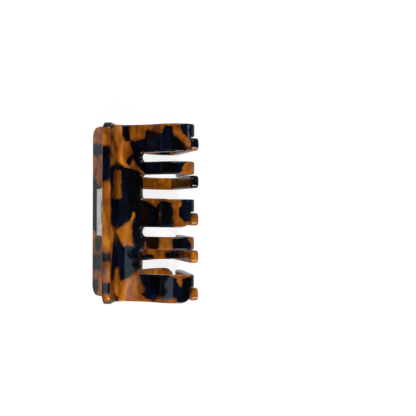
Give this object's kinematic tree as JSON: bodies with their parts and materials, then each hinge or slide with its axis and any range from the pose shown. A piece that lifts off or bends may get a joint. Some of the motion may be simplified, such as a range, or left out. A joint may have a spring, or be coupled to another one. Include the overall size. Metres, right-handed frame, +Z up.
{
  "type": "claw clip",
  "caption": "Sprung claw hair clip: two bent acetate sheet jaws with interlocking teeth on a steel hinge that opens when the wings are pinched.",
  "frame": {"origin": "centre of the clip's outline, on the surface it lies on", "axes": "+X from the wings to the teeth, +Y along the hinge pin, +Z up, with the front jaw on top and the clip lying on its rear jaw"},
  "size_m": [0.0458, 0.0848, 0.0426],
  "materials": {
    "acetate": "polished tortoiseshell cellulose acetate, amber with near-black blotches",
    "hinge_steel": "stamped, bright plated",
    "pin_steel": "turned",
    "spring_steel": "drawn wire"
  },
  "bodies": {
    "rear_jaw_body": {"rear_jaw": "acetate", "rear_leaf": "hinge_steel", "hinge_pin": "pin_steel", "torsion_spring": "spring_steel"},
    "front_jaw_body": {"front_jaw": "acetate", "front_leaf": "hinge_steel"}
  },
  "joints": [
    {"name": "jaw_hinge", "type": "hinge", "parent": "rear_jaw_body", "child": "front_jaw_body", "pos_m": [-0.01905, 0, 0.02129], "axis": [0, -1, 0], "range_deg": [0, 60], "stiffness_Nm_per_rad": 0.17, "springref_deg": -40.11, "deforming": ["torsion_spring"]}
  ]
}
